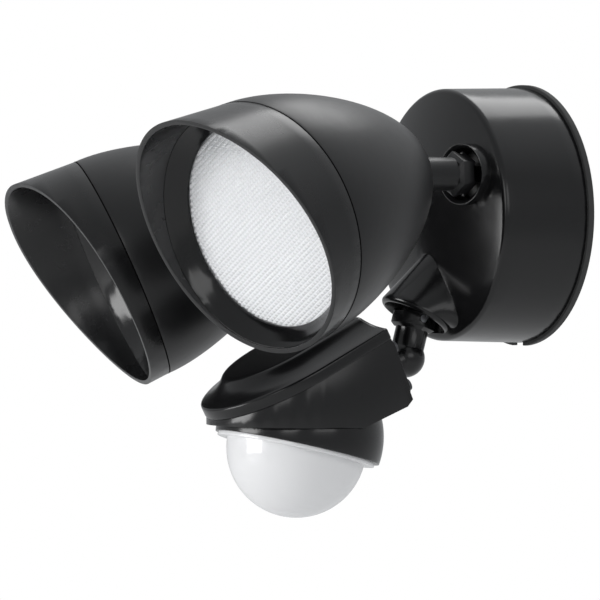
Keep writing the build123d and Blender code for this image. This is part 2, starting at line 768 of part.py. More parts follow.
def head_block(inset):
    """Solid body of the lower housing, inset all round."""
    with BuildPart() as block:
        with BuildSketch(Plane.YZ.offset(-head_half_width)):
            with BuildLine():
                Polyline(seam_rear, rear_bottom, belly_rear, belly_middle, belly_front,
                         (seam_front[0], belly_front[1]), seam_front, close=True)
            make_face()
            if inset:
                offset(amount=-inset, kind=Kind.INTERSECTION)
        extrude(amount=2 * head_half_width)
        with BuildSketch(Plane.XY.offset(-2 * far)):
            with BuildLine():
                add(plan_outline(inset).line)
            make_face()
        extrude(amount=2 * far, mode=Mode.INTERSECT)
    return block.part


rim_normal = Vector(0, -sin(radians(dome_tilt)), -cos(radians(dome_tilt)))
rim_plane = Plane(origin=(0, *dome_centre), x_dir=(1, 0, 0), z_dir=rim_normal)
seam_plane = Plane(origin=(0, *seam_rear), x_dir=(1, 0, 0),
                   z_dir=(0, -sin(radians(cover_pitch)), cos(radians(cover_pitch))))
outer_block = head_block(0)
inner_block = head_block(head_wall)

with BuildPart() as sensor_housing:
    add(outer_block)
    add(inner_block, mode=Mode.SUBTRACT)
    # Open at the top, under the cover
    with BuildSketch(seam_plane.offset(-head_wall - lap)):
        with BuildLine():
            add(cover_outline(head_wall + rim_proud, head_wall + rim_proud).line)
        make_face()
    extrude(amount=head_wall + 2 * lap, mode=Mode.SUBTRACT)
    # Window in the belly, over the sensor board
    with BuildSketch(Plane.XY.offset(belly_middle[1] - head_wall - lap)):
        with Locations((0, collar_centre[0])):
            Circle(belly_window)
    extrude(amount=belly_window_cut, mode=Mode.SUBTRACT)
    with BuildSketch(rear_plane.offset(-head_wall - lap)):
        with Locations(*screw_places):
            Circle(plate_screw_radius)
    extrude(amount=head_wall + 2 * lap, mode=Mode.SUBTRACT)
save(sensor_housing, "sensor_housing")

with BuildPart() as dome_collar:
    with Locations(Location((0, *collar_centre))):
        Sphere(collar_radius)
        Sphere(collar_radius - collar_wall, mode=Mode.SUBTRACT)
    with BuildSketch(rim_plane):
        Rectangle(2 * far, 2 * far)
    extrude(amount=far, mode=Mode.SUBTRACT)
    # Its top edge follows the belly of the housing.
    with BuildSketch(Plane.YZ.offset(-far)):
        with BuildLine():
            Polyline((belly_front[0] - far, belly_front[1] - seat), (belly_front[0], belly_front[1] - seat),
                     (belly_middle[0], belly_middle[1] - seat), (belly_rear[0] + seat, belly_rear[1] - seat),
                     (belly_rear[0] + seat, 0), (belly_front[0] - far, 0), close=True)
        make_face()
    extrude(amount=2 * far, mode=Mode.SUBTRACT)
save(dome_collar, "dome_collar")

with BuildPart() as dome_lens:
    with Locations(Location((0, *dome_centre))):
        Sphere(dome_radius)
    with BuildSketch(rim_plane):
        Circle(dome_flange_radius)
    extrude(amount=dome_flange_thickness)
    with Locations(Location((0, *dome_centre))):
        Sphere(dome_radius - dome_wall, mode=Mode.SUBTRACT)
    with BuildSketch(rim_plane):
        Rectangle(2 * far, 2 * far)
    extrude(amount=-far, mode=Mode.SUBTRACT)
save(dome_lens, "dome_lens")

board_plane = rim_plane.offset(-sensor_board_lift - sensor_board_thickness)
with BuildPart() as sensor_board:
    with BuildSketch(board_plane):
        Circle(sensor_board_radius)
    extrude(amount=sensor_board_thickness)
save(sensor_board, "sensor_board")

with BuildPart() as pir_element:
    with BuildSketch(board_plane.offset(sensor_board_thickness)):
        Circle(pir_radius)
    extrude(amount=pir_height)
save(pir_element, "pir_element")

# Top cover: a rim band, a sloping skirt and a raised top
with BuildPart() as sensor_cover:
    with BuildSketch(seam_plane.offset(seat)):
        with BuildLine():
            add(cover_outline(0).line)
        make_face()
    extrude(amount=rim_height - seat)
    with BuildSketch(seam_plane.offset(rim_height)):
        with BuildLine():
            add(cover_outline(skirt_step, skirt_rear_step).line)
        make_face()
    with BuildSketch(seam_plane.offset(rim_height + plateau_rise)):
        with BuildLine():
            add(cover_outline(plateau_inset, plateau_rear_inset).line)
        make_face()
    loft()
    with BuildSketch(seam_plane.offset(-lap)):
        with BuildLine():
            add(cover_outline(cover_wall, cover_wall).line)
        make_face()
    extrude(amount=rim_height + lap - cover_wall / 2, mode=Mode.SUBTRACT)
    with BuildSketch(seam_plane.offset(rim_height - cover_wall / 2)):
        with BuildLine():
            add(cover_outline(cover_wall, cover_wall).line)
        make_face()
    with BuildSketch(seam_plane.offset(rim_height + plateau_rise - head_wall)):
        with BuildLine():
            add(cover_outline(plateau_inset + cover_wall / 2, plateau_rear_inset + cover_wall / 2).line)
        make_face()
    loft(mode=Mode.SUBTRACT)
save(sensor_cover, "sensor_cover")

# Back plate with its screws and dials
with BuildPart() as sensor_back_plate:
    with BuildSketch(rear_plane.offset(seat)):
        RectangleRounded(plate_width, plate_height, plate_corner)
        with Locations(*screw_places):
            Circle(plate_screw_radius + seat, mode=Mode.SUBTRACT)
    extrude(amount=plate_thickness - seat)
save(sensor_back_plate, "sensor_back_plate")

with BuildPart() as plate_screws:
    with BuildSketch(rear_plane.offset(plate_thickness)):
        with Locations(*screw_places):
            Circle(plate_screw_head)
    extrude(amount=plate_screw_height)
    with BuildSketch(rear_plane.offset(-head_wall)):
        with Locations(*screw_places):
            Circle(plate_screw_radius - seat / 2)
    extrude(amount=head_wall + plate_thickness)
save(plate_screws, "plate_screws")

dial_places = {"time_dial": (-dial_spread, dial_lift), "range_dial": (dial_spread, dial_lift)}
for dial_name, place in dial_places.items():
    with BuildPart() as dial:
        with BuildSketch(rear_plane.offset(plate_thickness + slack)):
            with Locations(place):
                Circle(dial_radius)
        extrude(amount=dial_height)
        with BuildSketch(rear_plane.offset(plate_thickness + slack + dial_height - dial_slot_depth)):
            with Locations(place):
                Rectangle(dial_slot, 2 * dial_radius)
        extrude(amount=dial_slot_depth, mode=Mode.SUBTRACT)
    save(dial, dial_name)
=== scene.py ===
"""Finishes, fine pieces and studio for a wall light with two aimable lamp heads and a motion sensor."""

import json
from math import cos, pi, radians, sin

import bmesh
import bpy
import numpy as np
from bpy.props import FloatProperty, FloatVectorProperty, PointerProperty
from mathutils import Matrix, Vector


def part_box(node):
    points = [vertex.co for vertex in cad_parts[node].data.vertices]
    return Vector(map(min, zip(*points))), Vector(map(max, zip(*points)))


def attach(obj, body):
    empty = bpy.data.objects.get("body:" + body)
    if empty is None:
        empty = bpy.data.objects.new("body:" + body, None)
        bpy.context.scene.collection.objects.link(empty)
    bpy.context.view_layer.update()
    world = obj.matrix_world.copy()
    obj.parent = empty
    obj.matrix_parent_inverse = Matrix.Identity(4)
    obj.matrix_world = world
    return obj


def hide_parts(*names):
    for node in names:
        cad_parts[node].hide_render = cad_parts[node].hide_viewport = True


bl_info = {
    "name": "Security Light Looks",
    "version": (1, 0, 0),
    "blender": (4, 5, 0),
    "location": "3D View > Sidebar > Security Light",
    "description": "Builds the finishes, the lens prisms and the studio of a wall-mounted security light",
    "category": "Object",
}

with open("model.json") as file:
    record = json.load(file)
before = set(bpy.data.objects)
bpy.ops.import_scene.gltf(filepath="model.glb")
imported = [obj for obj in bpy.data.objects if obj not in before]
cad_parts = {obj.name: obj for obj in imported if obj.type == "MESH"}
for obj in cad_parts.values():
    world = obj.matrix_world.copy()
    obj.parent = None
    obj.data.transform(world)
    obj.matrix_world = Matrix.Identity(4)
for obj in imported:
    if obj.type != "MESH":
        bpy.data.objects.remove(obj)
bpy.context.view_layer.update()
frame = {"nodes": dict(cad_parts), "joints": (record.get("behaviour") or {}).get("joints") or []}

SIDES = ("right", "left")
MM = 0.001

# Rounded edges of the mouldings
WELD_REACH = 1e-6
EDGE_ANGLE = 35.0           # degrees; flatter edges stay as they are
EDGE_SEGMENTS = 3
HOOD_EDGE = 0.8             # shares of the usual edge round
COLLAR_EDGE = 0.6
BEZEL_ROUND = 0.25 * MM
SMALL_ROUND = 0.3 * MM      # stems, dome and dials
GASKET_ROUND = 0.4 * MM

# Grains per metre of the finishes' noise, and depths of their relief in metres
TONE_GRAIN = 38.0
GLOSS_GRAIN = 90.0
SPARK_GRAIN = 2600.0
SPARK_DEPTH = 0.03 * MM
SCRATCH_GRAIN = 420.0
SCRATCH_STRETCH = 14.0
SCRATCH_DEPTH = 0.01 * MM
PLATING_GRAIN = 60.0
DUST_GRAIN = 130.0
RUBBER_GRAIN = 1500.0
RUBBER_DEPTH = 0.05 * MM
TRACK_GRAIN = 260.0
LENS_GRAIN = 55.0
LENS_INDEX = 1.58
DOME_GRAIN = 45.0
DOME_RIPPLE = 160.0
RIPPLE_DEPTH = 0.2 * MM
DOME_SCATTER = (4.0 * MM, 4.0 * MM, 4.2 * MM)

RIM_WIDTH = 1.2 * MM        # plain rim round the prisms, under the bezel

# Sensor cover's outline
COVER_PITCH = 27.5          # slope of its seam, degrees
COVER_CORNER = 2.0 * MM     # rear corners
FRONT_POINTS = 72
CORNER_POINTS = 6

# The cover from its seam to its top: inset and inset at the rear in millimetres, share of its height
COVER_PROFILE = (
    (0.5, 0.5, 0.0), (0.12, 0.12, 0.015), (0.0, 0.0, 0.05), (0.0, 0.0, 0.33),
    (0.08, 0.08, 0.37), (0.35, 0.35, 0.40), (0.8, 0.7, 0.42), (1.6, 0.9, 0.44),
    (3.5, 1.2, 0.48), (6.0, 1.7, 0.55), (8.5, 2.3, 0.655), (10.5, 2.9, 0.775),
    (11.8, 3.4, 0.875), (12.5, 3.7, 0.935), (13.3, 4.1, 0.975), (14.4, 4.6, 0.995),
    (15.6, 5.2, 1.0),
)

# Dark band that paints the shadow in the seam between hood and bell: millimetres out from the bell's edge
# and along the beam
SEAM_PROFILE = (
    (-0.5, -0.3), (0.02, -0.3), (0.09, -0.15), (0.09, 0.15), (0.02, 0.3), (-0.5, 0.3),
)
SEAM_POINTS = 160


class HousingSettings(bpy.types.PropertyGroup):
    """Black mouldings of the base, the lamp heads and the sensor."""

    black: FloatVectorProperty(
        name="Black", description="Colour of the satin mouldings", subtype="COLOR",
        default=(0.0052, 0.0052, 0.0056), min=0, max=1)
    roughness: FloatProperty(
        name="Roughness", description="Gloss of the satin mouldings, 0 is a mirror", subtype="FACTOR",
        default=0.2, min=0, max=1)
    edge_round: FloatProperty(
        name="Edge round", description="Radius on the mouldings' outer edges", unit="LENGTH",
        default=0.5 * MM, min=0)


class LensSettings(bpy.types.PropertyGroup):
    """Prismatic lamp lenses and the bowls behind them."""

    prism_pitch: FloatProperty(
        name="Prism pitch", description="Distance between neighbouring prisms", unit="LENGTH",
        default=1.95 * MM, min=0.5 * MM)
    prism_height: FloatProperty(
        name="Prism height", description="Height of a prism over the valleys", unit="LENGTH",
        default=0.85 * MM, min=0)
    tint: FloatVectorProperty(
        name="Tint", description="Colour of the clear lens plastic", subtype="COLOR",
        default=(0.95, 0.955, 0.97), min=0, max=1)
    veil: FloatProperty(
        name="Veil", description="How much of the bowl behind it a lens hides", subtype="FACTOR",
        default=0.82, min=0, max=1)


class SensorSettings(bpy.types.PropertyGroup):
    """Dome of the motion sensor."""

    dome: FloatVectorProperty(
        name="Dome", description="Colour of the milky dome", subtype="COLOR",
        default=(0.75, 0.75, 0.757), min=0, max=1)


class StudioSettings(bpy.types.PropertyGroup):
    """Floor and lights."""

    floor: FloatVectorProperty(
        name="Floor", description="Colour of the floor", subtype="COLOR",
        default=(0.8, 0.8, 0.8), min=0, max=1)
    floor_drop: FloatProperty(
        name="Floor drop", description="Floor below the origin", unit="LENGTH", default=0.42)
    key_power: FloatProperty(
        name="Key power", description="Power of the light above", unit="POWER",
        default=4.6, min=0)
    front_power: FloatProperty(
        name="Front power", description="Power of the light in front of the lamps", unit="POWER",
        default=11.5, min=0)
    side_power: FloatProperty(
        name="Side power", description="Power of each of the two lights on the camera's side",
        unit="POWER", default=1.8, min=0)
    room: FloatProperty(
        name="Room", description="Even light from all round", default=0.5, min=0)


# ---------------------------------------------------------------- shapes

def points_of(node):
    """Corner points of a CAD node at rest, one per row."""
    mesh = frame["nodes"][node].data
    points = np.empty(len(mesh.vertices) * 3, np.float32)
    mesh.vertices.foreach_get("co", points)
    return points.reshape(-1, 3).astype(float)


def round_axis(node, towards):
    """Axis of a round node, on the side of towards."""
    points = np.unique(points_of(node).round(6), axis=0)
    values, ways = np.linalg.eigh(np.cov((points - points.mean(0)).T))
    lone = 0 if values[1] - values[0] > values[2] - values[1] else 2
    axis = Vector(ways[:, lone])
    if axis.dot(towards) < 0:
        axis.negate()
    return axis


def lamp_frame(name):
    """Frame of a lamp head: origin in the lens face, Z along the beam, Y to the hood's long side."""
    tilt = f"lamp_tilt_{name}"
    hinge = Vector(next(joint["pos_m"] for joint in frame["joints"] if joint["name"] == tilt))
    lens_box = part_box(f"lamp_lens_{name}")
    middle = (lens_box[0] + lens_box[1]) / 2
    beam = round_axis(f"lamp_lens_{name}", middle - hinge)
    lens = points_of(f"lamp_lens_{name}")
    face = max((lens - np.array(middle)) @ np.array(beam))
    hood = points_of(f"lamp_hood_{name}")
    tip = Vector(hood[np.argmax((hood - np.array(middle)) @ np.array(beam))])
    high = (tip - middle) - beam * (tip - middle).dot(beam)
    high.normalize()
    place = Matrix((high.cross(beam), high, beam)).transposed().to_4x4()
    place.translation = middle + beam * face
    return place


def in_frame(node, place):
    """Corner points of a CAD node in another frame."""
    return (points_of(node) - np.array(place.translation)) @ np.array(place.to_3x3())


def finished_object(name, shape, place, body, finish, stands_for=()):
    """Turns a bmesh into a named object that rides on a body and may stand for CAD nodes."""
    bmesh.ops.recalc_face_normals(shape, faces=shape.faces)
    mesh = bpy.data.meshes.new(name)
    shape.to_mesh(mesh)
    shape.free()
    mesh.transform(place)
    piece = bpy.data.objects.new(name, mesh)
    bpy.context.scene.collection.objects.link(piece)
    mesh.materials.append(finish)
    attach(piece, body)
    if stands_for:
        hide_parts(*stands_for)
    return piece


def soften(node, width):
    """Smooth shading on a CAD node and, unless width is 0, rounded edges, by modifiers only."""
    piece = frame["nodes"][node]
    weld = piece.modifiers.new("weld", "WELD")
    weld.merge_threshold = WELD_REACH
    if width > 0:
        bevel = piece.modifiers.new("rounded edges", "BEVEL")
        bevel.width = width
        bevel.segments = EDGE_SEGMENTS
        bevel.limit_method = "ANGLE"
        bevel.angle_limit = radians(EDGE_ANGLE)
        bevel.use_clamp_overlap = True
        bevel.harden_normals = True
    piece.data.polygons.foreach_set("use_smooth", [True] * len(piece.data.polygons))


def paint(node, finish):
    """Puts a finish on a CAD node."""
    mesh = frame["nodes"][node].data
    mesh.materials.clear()
    mesh.materials.append(finish)


# ---------------------------------------------------------------- finishes

def new_finish(name):
    """New material; returns it with its node tree and its shader."""
    finish = bpy.data.materials.new(name)
    finish.use_nodes = True
    tree = finish.node_tree
    return finish, tree, tree.nodes["Principled BSDF"]


def texture_space(tree):
    """Object coordinates, which are metres in the light's own frame."""
    return tree.nodes.new("ShaderNodeTexCoord").outputs["Object"]


def grain(tree, scale, detail=3.0, rough=0.5):
    """Noise in object space, scale in grains per metre."""
    noise = tree.nodes.new("ShaderNodeTexNoise")
    noise.inputs["Scale"].default_value = scale
    noise.inputs["Detail"].default_value = detail
    noise.inputs["Roughness"].default_value = rough
    tree.links.new(texture_space(tree), noise.inputs["Vector"])
    return noise.outputs["Fac"]


def spread(tree, value, low, high):
    """Maps a 0 to 1 value to a range."""
    ramp = tree.nodes.new("ShaderNodeMapRange")
    ramp.inputs["To Min"].default_value = low
    ramp.inputs["To Max"].default_value = high
    tree.links.new(value, ramp.inputs["Value"])
    return ramp.outputs["Result"]


def two_tone(tree, shader, value, dark, light):
    """Base colour that drifts between two tones."""
    mix = tree.nodes.new("ShaderNodeMix")
    mix.data_type = "RGBA"
    mix.inputs["A"].default_value = (*dark, 1)
    mix.inputs["B"].default_value = (*light, 1)
    tree.links.new(value, mix.inputs["Factor"])
    tree.links.new(mix.outputs["Result"], shader.inputs["Base Color"])


def relief(tree, shader, value, strength, height):
    """Fine surface relief; height is in metres."""
    bump = tree.nodes.new("ShaderNodeBump")
    bump.inputs["Strength"].default_value = strength
    bump.inputs["Distance"].default_value = height
    tree.links.new(value, bump.inputs["Height"])
    tree.links.new(bump.outputs["Normal"], shader.inputs["Normal"])


def moulded(name, colour, roughness, texture=0.25, drift=0.12, specular=0.4):
    """Moulded plastic: slow drift in tone and gloss, and a fine spark-eroded texture."""
    finish, tree, shader = new_finish(name)
    dark = [c * (1 - drift) for c in colour]
    light = [min(1, c * (1 + drift)) for c in colour]
    two_tone(tree, shader, grain(tree, TONE_GRAIN, 4.0), dark, light)
    gloss = spread(tree, grain(tree, GLOSS_GRAIN), roughness - 0.04, roughness + 0.04)
    tree.links.new(gloss, shader.inputs["Roughness"])
    shader.inputs["Specular IOR Level"].default_value = specular
    if texture:
        relief(tree, shader, grain(tree, SPARK_GRAIN, 2.0, 0.6), texture, SPARK_DEPTH)
    return finish


def metal(name, colour, roughness):
    """Bare or plated metal with fine directional scratches."""
    finish, tree, shader = new_finish(name)
    shader.inputs["Metallic"].default_value = 1.0
    two_tone(tree, shader, grain(tree, PLATING_GRAIN, 5.0), [c * 0.86 for c in colour], colour)
    stretch = tree.nodes.new("ShaderNodeMapping")
    stretch.inputs["Scale"].default_value = (1.0, SCRATCH_STRETCH, 1.0)
    tree.links.new(texture_space(tree), stretch.inputs["Vector"])
    lines = tree.nodes.new("ShaderNodeTexNoise")
    lines.inputs["Scale"].default_value = SCRATCH_GRAIN
    lines.inputs["Detail"].default_value = 2.0
    tree.links.new(stretch.outputs["Vector"], lines.inputs["Vector"])
    gloss = spread(tree, lines.outputs["Fac"], roughness - 0.08, roughness + 0.1)
    tree.links.new(gloss, shader.inputs["Roughness"])
    relief(tree, shader, lines.outputs["Fac"], 0.2, SCRATCH_DEPTH)
    return finish


def rubber(name, colour):
    """Matt rubber with a dusty bloom."""
    finish, tree, shader = new_finish(name)
    bloom = [min(1, c * 1.5 + 0.01) for c in colour]
    two_tone(tree, shader, grain(tree, DUST_GRAIN, 6.0, 0.7), colour, bloom)
    shader.inputs["Roughness"].default_value = 0.72
    relief(tree, shader, grain(tree, RUBBER_GRAIN), 0.3, RUBBER_DEPTH)
    return finish


def clear_lens(settings):
    """Clear prismatic plastic, veiled so that the bowl behind it shows faintly."""
    finish, tree, shader = new_finish("prismatic_lens")
    tint = list(settings.tint)
    two_tone(tree, shader, grain(tree, LENS_GRAIN), [c * 0.97 for c in tint], tint)
    shader.inputs["Roughness"].default_value = 0.16
    shader.inputs["IOR"].default_value = LENS_INDEX
    shader.inputs["Alpha"].default_value = settings.veil
    return finish


def milky_dome(settings):
    """Milky plastic with a polished skin."""
    finish, tree, shader = new_finish("milky_dome")
    tone = list(settings.dome)
    two_tone(tree, shader, grain(tree, DOME_GRAIN, 5.0), [c * 0.975 for c in tone], tone)
    shader.inputs["Roughness"].default_value = 0.28
    shader.inputs["Coat Weight"].default_value = 0.6
    shader.inputs["Coat Roughness"].default_value = 0.05
    shader.inputs["Subsurface Weight"].default_value = 0.15
    shader.inputs["Subsurface Radius"].default_value = DOME_SCATTER
    relief(tree, shader, grain(tree, DOME_RIPPLE, 1.0), 0.08, RIPPLE_DEPTH)
    return finish


def board_finish(name, colour):
    """Circuit board with faint tracks under its lacquer."""
    finish, tree, shader = new_finish(name)
    tracks = tree.nodes.new("ShaderNodeTexBrick")
    tracks.inputs["Scale"].default_value = TRACK_GRAIN
    tracks.inputs["Mortar Size"].default_value = 0.03
    tracks.inputs["Color1"].default_value = (*colour, 1)
    tracks.inputs["Color2"].default_value = (*[c * 0.9 for c in colour], 1)
    tracks.inputs["Mortar"].default_value = (*[min(1, c * 1.3 + 0.02) for c in colour], 1)
    tree.links.new(texture_space(tree), tracks.inputs["Vector"])
    tree.links.new(tracks.outputs["Color"], shader.inputs["Base Color"])
    shader.inputs["Roughness"].default_value = 0.35
    return finish


finishes = {}


def finish_named(name):
    """The finishes are made once, on first use."""
    housing = bpy.context.scene.light_housing
    black = list(housing.black)

    def tinted(share):
        """The mouldings' black, lighter or darker."""
        return [c * share for c in black]

    gloss = housing.roughness
    makers = {
        "satin_black": lambda: moulded(name, black, gloss),
        "bell_black": lambda: moulded(name, tinted(1.3), gloss + 0.16, 0.3),
        "hood_black": lambda: moulded(name, tinted(1.1), gloss + 0.08),
        "gloss_black": lambda: moulded(name, tinted(0.8), 0.14, 0.0),
        "joint_black": lambda: moulded(name, tinted(0.8), 0.34, 0.2),
        # near-black, matt and barely glossy: painted shadow for the seam between hood and bell
        "seam_black": lambda: moulded(name, tinted(0.2), 0.9, 0.0, specular=0.04),
        "gasket_rubber": lambda: rubber(name, (0.018, 0.018, 0.018)),
        "grey_rubber": lambda: rubber(name, (0.22, 0.22, 0.23)),
        "zinc_steel": lambda: metal(name, (0.62, 0.63, 0.66), 0.32),
        "fin_aluminium": lambda: metal(name, (0.78, 0.79, 0.80), 0.38),
        "brass": lambda: metal(name, (0.75, 0.56, 0.26), 0.3),
        "dark_screw": lambda: metal(name, (0.09, 0.09, 0.095), 0.4),
        "white_bowl": lambda: moulded(name, (0.88, 0.885, 0.90), 0.3, 0.1, 0.02),
        "driver_grey": lambda: moulded(name, (0.32, 0.32, 0.33), 0.5),
        "terminal_cream": lambda: moulded(name, (0.66, 0.62, 0.5), 0.45),
        "phosphor": lambda: moulded(name, (0.85, 0.66, 0.14), 0.35, 0.1),
        "white_board": lambda: board_finish(name, (0.8, 0.81, 0.8)),
        "green_board": lambda: board_finish(name, (0.03, 0.16, 0.07)),
        "prismatic_lens": lambda: clear_lens(bpy.context.scene.light_lens),
        "milky_dome": lambda: milky_dome(bpy.context.scene.light_sensor),
    }
    if name not in finishes:
        finishes[name] = makers[name]()
    return finishes[name]


# ---------------------------------------------------------------- pieces

def prism_lens(name, settings):
    """Lens disc: square prisms set on their corners over its face, a plain rim and a flat back."""
    place = lamp_frame(name)
    points = in_frame(f"lamp_lens_{name}", place)
    radius = float(np.hypot(points[:, 0], points[:, 1]).max())
    thickness = float(np.ptp(points[:, 2]))
    height = settings.prism_height
    rim = radius - RIM_WIDTH
    step = settings.prism_pitch / 2 ** 0.5
    reach = int(rim / step) + 2
    shape = bmesh.new()
    corners = {}

    def corner(i, j):
        """Shared point of the lattice; those past the rim lie on it, level with the valleys."""
        if (i, j) not in corners:
            x, y = i * step, j * step
            away = (x * x + y * y) ** 0.5
            shrink = min(1.0, rim / away) if away else 1.0
            z = -height if (i + j) % 2 or away > rim else 0.0
            corners[i, j] = shape.verts.new((x * shrink, y * shrink, z))
        return corners[i, j]

    for i in range(-reach, reach + 1):
        for j in range(-reach, reach + 1):
            if (i + j) % 2:
                continue
            ring = ((i + 1, j), (i, j + 1), (i - 1, j), (i, j - 1))
            for k in range(4):
                trio = ((i, j), ring[k], ring[(k + 1) % 4])
                if min(a * a + b * b for a, b in trio) * step * step < rim * rim:
                    shape.faces.new([corner(a, b) for a, b in trio])
    edge = [e for e in shape.edges if e.is_boundary]
    for ring_radius, z in ((radius, -height), (radius, -thickness), (0.0, -thickness)):
        grown = bmesh.ops.extrude_edge_only(shape, edges=edge)["geom"]
        edge = [g for g in grown if isinstance(g, bmesh.types.BMEdge)]
        loop = {v for e in edge for v in e.verts}
        for v in loop:
            v.co.xy = v.co.xy.normalized() * ring_radius
            v.co.z = z
    bmesh.ops.remove_doubles(shape, verts=list(loop), dist=WELD_REACH)
    return finished_object(f"lens_prisms_{name}", shape, place, f"lamp_{name}",
                           finish_named("prismatic_lens"), [f"lamp_lens_{name}"])


def seam_shadow_band(name):
    """Dark matt band that paints the shadow in the seam between a hood and its bell."""
    place = lamp_frame(name)
    points = in_frame(f"lamp_body_{name}", place)
    radius = float(np.hypot(points[:, 0], points[:, 1]).max())
    middle = float(points[:, 2].max())
    shape = bmesh.new()
    rings = []
    for out, along in SEAM_PROFILE:
        ring = []
        for k in range(SEAM_POINTS):
            turn = 2 * pi * k / SEAM_POINTS
            r = radius + out * MM
            ring.append(shape.verts.new((r * cos(turn), r * sin(turn), middle + along * MM)))
        rings.append(ring)
    for lower, upper in zip(rings, rings[1:] + rings[:1]):
        for k in range(SEAM_POINTS):
            after = (k + 1) % SEAM_POINTS
            shape.faces.new((lower[k], lower[after], upper[after], upper[k]))
    for face in shape.faces:
        face.smooth = True
    return finished_object(f"seam_ring_{name}", shape, place, f"lamp_{name}",
                           finish_named("seam_black"))


def cover_ring(half_width, front, rear, inset, rear_inset, height):
    """Points of the sensor cover's outline at an inset, on its seam's plane raised by a height."""
    slope = cos(radians(COVER_PITCH))
    half = half_width - inset
    centre = front + half_width / slope
    ring = []
    for k in range(FRONT_POINTS + 1):
        turn = pi * k / FRONT_POINTS
        ring.append((-half * cos(turn), centre - half / slope * sin(turn), height))
    corner = COVER_CORNER
    back = rear - rear_inset
    for k in range(CORNER_POINTS + 1):
        turn = pi / 2 * k / CORNER_POINTS
        ring.append((half - corner * (1 - cos(turn)), back - corner * (1 - sin(turn)), height))
    for k in range(CORNER_POINTS + 1):
        turn = pi / 2 * (1 - k / CORNER_POINTS)
        ring.append((-half + corner * (1 - cos(turn)), back - corner * (1 - sin(turn)), height))
    return ring


def sensor_lid():
    """Sensor cover, closed all round: a rim band, a dished slope and a raised top."""
    pitch = radians(COVER_PITCH)
    place = Matrix(((1, 0, 0), (0, cos(pitch), -sin(pitch)), (0, sin(pitch), cos(pitch)))).to_4x4()
    points = in_frame("sensor_cover", place)
    low, high = points.min(0), points.max(0)
    top = high[2] - low[2]
    half_width, front, rear = high[0], low[1], high[1]
    place.translation = place.to_3x3() @ Vector((0, 0, low[2]))
    shape = bmesh.new()
    rings = []
    for inset, rear_inset, height in COVER_PROFILE:
        outline = cover_ring(half_width, front, rear, inset * MM, rear_inset * MM, top * height)
        rings.append([shape.verts.new(point) for point in outline])
    count = len(rings[0])
    for lower, upper in zip(rings, rings[1:]):
        for k in range(count):
            after = (k + 1) % count
            shape.faces.new((lower[k], lower[after], upper[after], upper[k]))
    shape.faces.new(rings[0][::-1])
    shape.faces.new(rings[-1])
    for face in shape.faces:
        face.smooth = len(face.verts) == 4
    return finished_object("sensor_lid", shape, place, "sensor",
                           finish_named("satin_black"), ["sensor_cover"])


class LIGHT_OT_lamp_heads(bpy.types.Operator):
    """Finishes both lamp heads and makes their prismatic lenses and the dark bands that paint the shadow in
    their seams
    """

    bl_idname = "light.lamp_heads"
    bl_label = "Lamp Heads"

    def execute(self, context):
        housing = context.scene.light_housing
        for name in SIDES:
            soften(f"lamp_body_{name}", housing.edge_round)
            soften(f"lamp_hood_{name}", housing.edge_round * HOOD_EDGE)
            soften(f"lens_bezel_{name}", BEZEL_ROUND)
            soften(f"reflector_{name}", 0)
            for node, finish in (
                    ("lamp_body", "bell_black"), ("lamp_hood", "hood_black"), ("lens_bezel", "gloss_black"),
                    ("lens_seal", "grey_rubber"), ("reflector", "white_bowl"), ("led_board", "white_board"),
                    ("led_emitter", "phosphor"), ("heat_sink", "fin_aluminium"),
                    ("board_screws", "zinc_steel"), ("tilt_pin", "zinc_steel")):
                paint(f"{node}_{name}", finish_named(finish))
            prism_lens(name, context.scene.light_lens)
            # dark band that paints the shadow in the hood-bell seam
            seam_shadow_band(name)
        return {"FINISHED"}


class LIGHT_OT_base(bpy.types.Operator):
    """Finishes the drum, its gasket and what is inside it"""

    bl_idname = "light.base"
    bl_label = "Base"

    def execute(self, context):
        soften("base_housing", context.scene.light_housing.edge_round)
        soften("wall_gasket", GASKET_ROUND)
        for node, finish in (
                ("base_housing", "satin_black"), ("wall_gasket", "gasket_rubber"),
                ("wall_bracket", "zinc_steel"), ("fixing_bolt", "zinc_steel"),
                ("bolt_plug", "gasket_rubber"), ("led_driver", "driver_grey"),
                ("terminal_block", "terminal_cream"), ("earth_screw", "brass")):
            paint(node, finish_named(finish))
        return {"FINISHED"}


class LIGHT_OT_arms(bpy.types.Operator):
    """Finishes the swivel stems with their nuts and washers"""

    bl_idname = "light.arms"
    bl_label = "Arms"

    def execute(self, context):
        stems = ["sensor_stem"] + [f"lamp_stem_{name}" for name in SIDES]
        for stem in stems:
            soften(stem, SMALL_ROUND)
            paint(stem, finish_named("joint_black"))
            paint(f"{stem}_nut", finish_named("zinc_steel"))
            paint(f"{stem}_washer", finish_named("zinc_steel"))
        return {"FINISHED"}


class LIGHT_OT_sensor(bpy.types.Operator):
    """Finishes the motion sensor, its arm, dome, back plate and dials"""

    bl_idname = "light.sensor"
    bl_label = "Sensor"

    def execute(self, context):
        edge = context.scene.light_housing.edge_round
        for node, width in (
                ("sensor_arm", edge), ("sensor_housing", edge), ("sensor_back_plate", edge),
                ("dome_collar", edge * COLLAR_EDGE), ("dome_lens", SMALL_ROUND),
                ("time_dial", SMALL_ROUND), ("range_dial", SMALL_ROUND)):
            soften(node, width)
        for node, finish in (
                ("sensor_arm", "satin_black"), ("sensor_housing", "satin_black"),
                ("dome_collar", "satin_black"), ("sensor_back_plate", "satin_black"),
                ("dome_lens", "milky_dome"), ("sensor_board", "green_board"),
                ("pir_element", "fin_aluminium"), ("plate_screws", "dark_screw"),
                ("sensor_tilt_pin", "zinc_steel"), ("time_dial", "gloss_black"),
                ("range_dial", "gloss_black")):
            paint(node, finish_named(finish))
        sensor_lid()
        return {"FINISHED"}


# ---------------------------------------------------------------- studio

CAMERA_PLACE = Vector((1.362986, -0.855331, -0.023593))
CAMERA_BACK = Vector((0.87993532, -0.47498564, 0.01012274))
CAMERA_LENS = 204.0         # mm, for a sensor 36 mm wide
CAMERA_SENSOR = 36.0
CAMERA_CLIP = (0.05, 50.0)

FLOOR_REACH = 6.0
LIGHT_AIM = (0, -0.12, 0)

